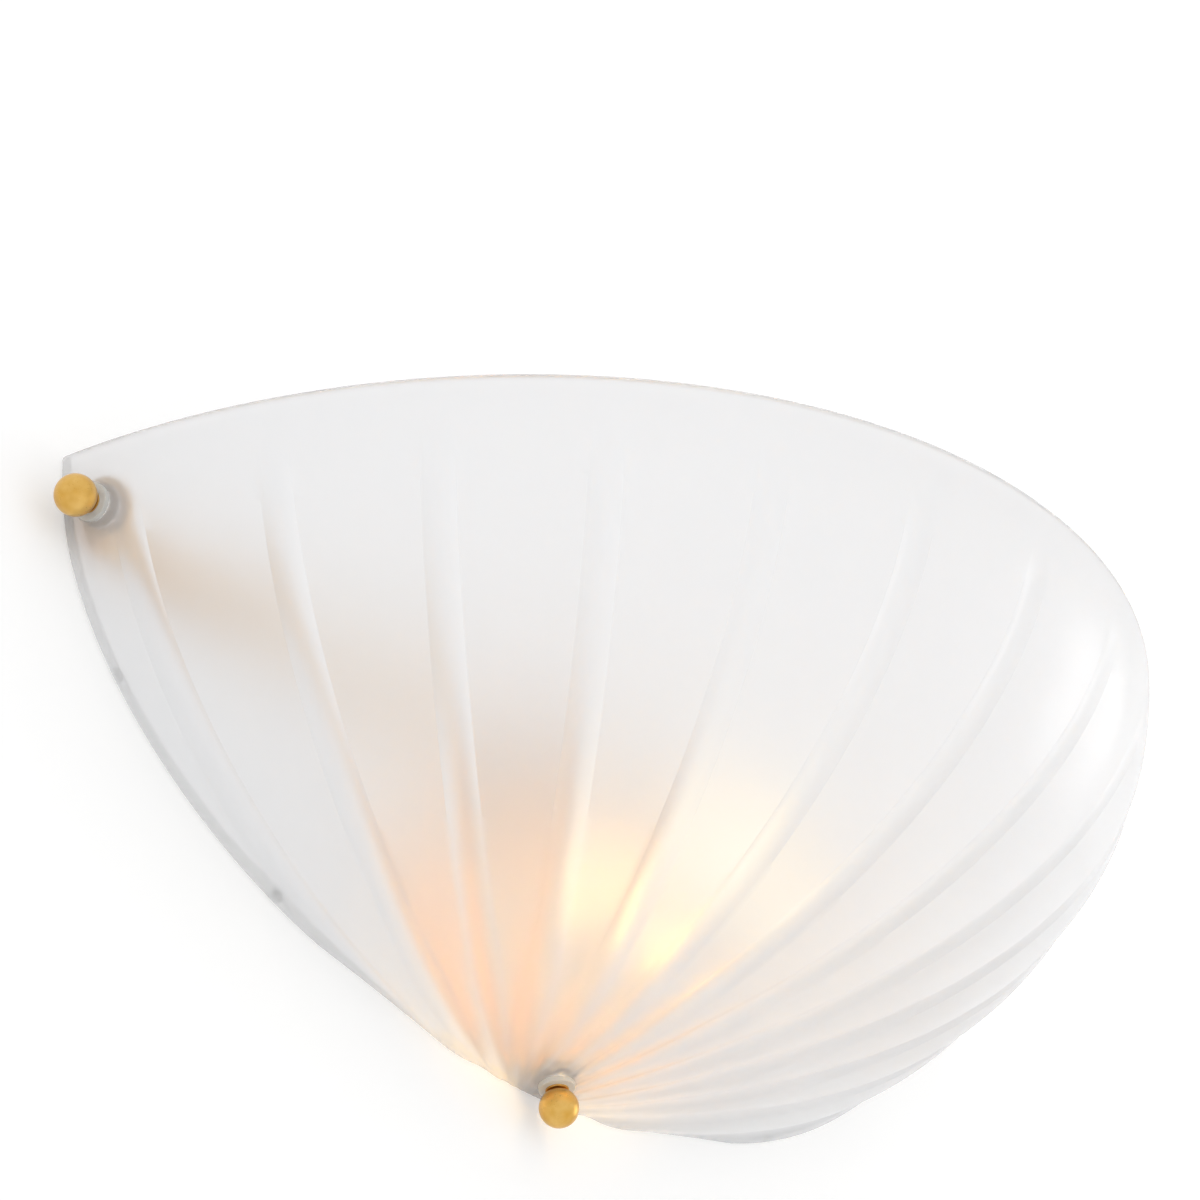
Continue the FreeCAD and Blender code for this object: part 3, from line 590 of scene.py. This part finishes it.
class SCONCE_OT_lamp(Operator):
    """Finish the lamp holder, the contacts and the lit globe lamp, and add the lamp's light on the wall"""
    bl_idname = "sconce.lamp"
    bl_label = "Lamp"

    def execute(self, context):
        # glazed steatite: off-white ceramic under a glossy glaze
        dress(moulded_finish("Glazed_Steatite", ("E6E1D4", "F1EEE4"), (0.25, 0.38), 0.8, 0.02, coat=0.8),
              "lamp_holder_body")
        # nickel-plated brass: yellowish silver
        dress(plated_metal("Nickel_Plated_Brass", ("B5AF9F", "D8D4C8"), (0.16, 0.3)),
              "lamp_holder_shell", "lamp_cap")
        # rolled copper alloy contacts: orange metal, slightly darkened
        dress(plated_metal("Rolled_Copper_Alloy", ("A86A45", "D79A72"), (0.24, 0.38)),
              "lamp_holder_contact", "lamp_tip", "earth_terminal")
        # black glass insulator, fused under the cap: near black and glossy
        dress(moulded_finish("Black_Vitrite", ("0A0A0C", "15151A"), (0.1, 0.23), 0.5, 0.01),
              "lamp_insulator")
        settings = context.scene.sconce_lamp
        dress(lit_opal(settings.glow), "lamp_globe")
        light = disk_light("lamp_light", LAMP_LIGHT_PLACE, LAMP_LIGHT_TARGET, LAMP_LIGHT_SIZE,
                           settings.power, "FFC85E", LAMP_LIGHT_SPREAD)
        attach(light, "lamp")
        return {"FINISHED"}


class SCONCE_OT_wiring(Operator):
    """Finish the terminal block and the leads"""
    bl_idname = "sconce.wiring"
    bl_label = "Wiring"

    def execute(self, context):
        # moulded polyamide: dark brown with a fine spark-eroded grain
        dress(moulded_finish("Moulded_Polyamide", ("241A14", "3A2A20"), (0.45, 0.58), 0.3, 0.02),
              "terminal_block")
        # extruded PVC insulation: even colour, slightly waxy
        for colour_name, colours, lead in (
                ("PVC_Brown", ("4A2A1A", "5A3420"), "lead_live"),
                ("PVC_Blue", ("244F90", "2A5FA8"), "lead_neutral"),
                ("PVC_Green", ("5A9020", "6FA82A"), "lead_earth")):
            dress(moulded_finish(colour_name, colours, (0.3, 0.43), 0.5, 0.005), lead)
        return {"FINISHED"}


# ---- studio ----
WALL_BEHIND = 0.2 * MM        # keeps the wall off the back plate's face
WALL_HALF_WIDTH = 4.0
WALL_TOP = 3.0
FLOOR_HEIGHT = -1.5
FLOOR_REACH = 5.0
WALL_LIFT = 0.23              # brings the lit paint up to plain white
WALL_LIFT_IN_GLASS = 0.2      # share of it that shows through the glass
KEY_PLACE = (1.9, -0.85, 0.05)
KEY_TARGET = (0, -0.05, 0)
KEY_SIZE = 1.1
CAMERA_AZIMUTH = radians(-49.06)
CAMERA_ELEVATION = radians(-32.23)
CAMERA_AWAY = 0.8875
CAMERA_TARGET = (-0.0551, -0.0710, 0.0415)
FIELD_OF_VIEW = radians(19.43)
SENSOR = 36.0                 # in mm
PLASTER_GRAIN = Pattern(2.0, 3.0)
PLASTER_DEPTH = 0.02 * MM
PLASTER_STRENGTH = 0.2


def painted_plaster(colour):
    """Matt emulsion on plaster, lifted to plain white where it is seen or mirrored. It keeps its shadows."""
    material, tree = new_material("Matt_White_Emulsion")
    seen = ray_share(tree, {
        "Is Transmission Ray": WALL_LIFT_IN_GLASS, "Is Camera Ray": 1.0, "Is Glossy Ray": 1.0,
    })
    grain, = lay_patterns(tree, PLASTER_GRAIN)
    lifted = add_node(tree, "ShaderNodeBump", {
        "Height": grain, "Distance": PLASTER_DEPTH, "Strength": PLASTER_STRENGTH,
    })
    paint = add_node(tree, "ShaderNodeBsdfDiffuse", {"Color": colour, "Normal": lifted.outputs["Normal"]})
    level = add_node(tree, "ShaderNodeMath", {0: seen, 1: WALL_LIFT}, operation="MULTIPLY")
    lift = add_node(tree, "ShaderNodeEmission", {"Strength": level.outputs["Value"]})
    front = add_node(tree, "ShaderNodeAddShader", {0: paint.outputs["BSDF"], 1: lift.outputs["Emission"]})
    # from behind the sheet is clear, so that it hides nothing in a view through the wall
    away = add_node(tree, "ShaderNodeBsdfTransparent")
    side = add_node(tree, "ShaderNodeNewGeometry")
    surface = add_node(tree, "ShaderNodeMixShader", {
        0: side.outputs["Backfacing"], 1: front.outputs["Shader"], 2: away.outputs["BSDF"],
    })
    add_node(tree, "ShaderNodeOutputMaterial", {"Surface": surface.outputs["Shader"]})
    return material


def plain_sheet(name, corners, material):
    """Flat piece of the studio."""
    data = bpy.data.meshes.new(name)
    data.from_pydata(corners, [], [range(len(corners))])
    data.materials.append(material)
    sheet = bpy.data.objects.new(name, data)
    bpy.context.collection.objects.link(sheet)


def aimed_at(thing, place, target):
    """Put a light or camera at its place and turn it to its target."""
    thing.location = place
    thing.rotation_euler = (Vector(target) - Vector(place)).to_track_quat("-Z", "Y").to_euler()


def disk_light(name, place, target, size, power, colour, spread=pi):
    """Round area light. Its spread is half a turn unless it is given."""
    data = bpy.data.lights.new(name, "AREA")
    data.shape = "DISK"
    data.size = size
    data.spread = spread
    data.energy = power
    data.color = linear(colour)[:3]
    light = bpy.data.objects.new(name, data)
    bpy.context.collection.objects.link(light)
    aimed_at(light, place, target)
    return light


def white_surround(level):
    """Even light from all round, plain white where it is seen directly, mirrored or through glass."""
    world = bpy.data.worlds.new("White_Surround")
    bpy.context.scene.world = world
    world.use_nodes = True
    tree = world.node_tree
    tree.nodes.clear()
    seen = ray_share(tree, {"Is Camera Ray": 1.0, "Is Glossy Ray": 1.0, "Is Transmission Ray": 1.0})
    strength = add_node(tree, "ShaderNodeMapRange", {
        "Value": seen, "From Min": 0.0, "From Max": 1.0, "To Min": level, "To Max": 1.0,
    })
    light = add_node(tree, "ShaderNodeBackground", {
        "Color": (1, 1, 1, 1), "Strength": strength.outputs["Result"],
    })
    add_node(tree, "ShaderNodeOutputWorld", {"Surface": light.outputs["Background"]})


def photo_camera():
    """Camera low in front of the left side, looking up at the bowl."""
    level = cos(CAMERA_ELEVATION)
    back = Vector((sin(CAMERA_AZIMUTH) * level, -cos(CAMERA_AZIMUTH) * level, sin(CAMERA_ELEVATION)))
    data = bpy.data.cameras.new("camera")
    data.sensor_width = SENSOR
    data.lens = SENSOR / 2 / tan(FIELD_OF_VIEW / 2)
    data.clip_start = 0.02
    data.clip_end = 50.0
    camera = bpy.data.objects.new("camera", data)
    bpy.context.collection.objects.link(camera)
    target = Vector(CAMERA_TARGET)
    aimed_at(camera, target + back * CAMERA_AWAY, target)
    bpy.context.scene.camera = camera


class SCONCE_OT_stage(Operator):
    """Build the white wall, the floor, the soft lights and the camera"""
    bl_idname = "sconce.stage"
    bl_label = "Studio"

    def execute(self, context):
        studio = context.scene.sconce_studio
        paint = painted_plaster(studio.wall)
        left, right = -WALL_HALF_WIDTH, WALL_HALF_WIDTH
        plain_sheet("wall", [(left, WALL_BEHIND, FLOOR_HEIGHT), (right, WALL_BEHIND, FLOOR_HEIGHT),
                             (right, WALL_BEHIND, WALL_TOP), (left, WALL_BEHIND, WALL_TOP)], paint)
        plain_sheet("floor", [(left, -FLOOR_REACH, FLOOR_HEIGHT), (right, -FLOOR_REACH, FLOOR_HEIGHT),
                              (right, 0, FLOOR_HEIGHT), (left, 0, FLOOR_HEIGHT)], paint)
        white_surround(studio.sky)
        disk_light("key", KEY_PLACE, KEY_TARGET, KEY_SIZE, studio.key, "FFFFFF")
        photo_camera()
        context.scene.view_settings.view_transform = "Standard"
        return {"FINISHED"}


class SCONCE_PT_panel(Panel):
    """Lists the sconce's pieces and their settings"""
    bl_label = "Shell Wall Sconce"
    bl_idname = "SCONCE_PT_panel"
    bl_space_type = "VIEW_3D"
    bl_region_type = "UI"
    bl_category = "Sconce"

    def draw(self, context):
        for operator in OPERATORS:
            self.layout.operator(operator.bl_idname)
        for holder in SETTINGS:
            settings = getattr(context.scene, holder)
            for name in settings.__annotations__:
                self.layout.prop(settings, name)


SETTINGS = {"sconce_glass": GlassSettings, "sconce_lamp": LampSettings, "sconce_studio": StudioSettings}
OPERATORS = (SCONCE_OT_stage, SCONCE_OT_glass_bowl, SCONCE_OT_screws, SCONCE_OT_wall_frame, SCONCE_OT_lamp,
             SCONCE_OT_wiring)


def register():
    for name, settings in SETTINGS.items():
        bpy.utils.register_class(settings)
        setattr(bpy.types.Scene, name, PointerProperty(type=settings))
    for operator in OPERATORS:
        bpy.utils.register_class(operator)
    bpy.utils.register_class(SCONCE_PT_panel)


def unregister():
    bpy.utils.unregister_class(SCONCE_PT_panel)
    for operator in reversed(OPERATORS):
        bpy.utils.unregister_class(operator)
    for name, settings in SETTINGS.items():
        delattr(bpy.types.Scene, name)
        bpy.utils.unregister_class(settings)


def main():
    register()
    bpy.ops.sconce.stage()
    bpy.ops.sconce.glass_bowl()
    bpy.ops.sconce.screws()
    bpy.ops.sconce.wall_frame()
    bpy.ops.sconce.lamp()
    bpy.ops.sconce.wiring()


if __name__ == "__main__":
    main()
